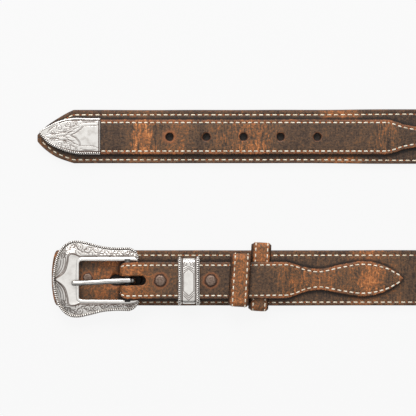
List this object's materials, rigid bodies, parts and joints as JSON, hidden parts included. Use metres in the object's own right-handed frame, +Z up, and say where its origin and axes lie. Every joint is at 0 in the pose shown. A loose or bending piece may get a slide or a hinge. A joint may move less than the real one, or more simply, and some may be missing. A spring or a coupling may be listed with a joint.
{
  "type": "ranger belt",
  "caption": "Western ranger belt in distressed leather: a wide base strap with narrower sewn overlays, a hinged engraved buckle, keepers and a metal tip.",
  "frame": {"origin": "middle of the belt's footprint, on the surface it lies on", "axes": "+X along the straps from the two ends to the far turn, +Y from the buckle end's row to the tip end's row, +Z up"},
  "size_m": [0.5348, 0.1446, 0.0382],
  "materials": {
    "umber_leather": "distressed, waxed",
    "rust_leather": "distressed, waxed",
    "silver": "polished and antiqued",
    "old_bronze": "antiqued"
  },
  "bodies": {
    "strap": {"base_strap": "umber_leather", "billet_overlay": "umber_leather", "buckle_overlay": "umber_leather", "leather_keeper_narrow": "rust_leather", "leather_keeper_wide": "rust_leather", "tip_cap": "silver", "snap_near_buckle": "old_bronze", "snap_near_keepers": "old_bronze", "base_rivet": "old_bronze"},
    "frame": {"buckle_frame": "silver"},
    "prong": {"buckle_prong": "silver"},
    "keeper": {"metal_keeper": "silver"}
  },
  "joints": [
    {"name": "frame_swing", "type": "hinge", "parent": "strap", "child": "frame", "pos_m": [-0.20495, -0.04577, 0.0087], "axis": [0, 1, 0], "range_deg": [0, 40]},
    {"name": "prong_swing", "type": "hinge", "parent": "frame", "child": "prong", "pos_m": [-0.20495, -0.04577, 0.0087], "axis": [0, 1, 0], "range_deg": [0, 95]},
    {"name": "keeper_slide", "type": "slide", "parent": "strap", "child": "keeper", "axis": [1, 0, 0], "range_m": [-0.0075, 0.003]}
  ]
}
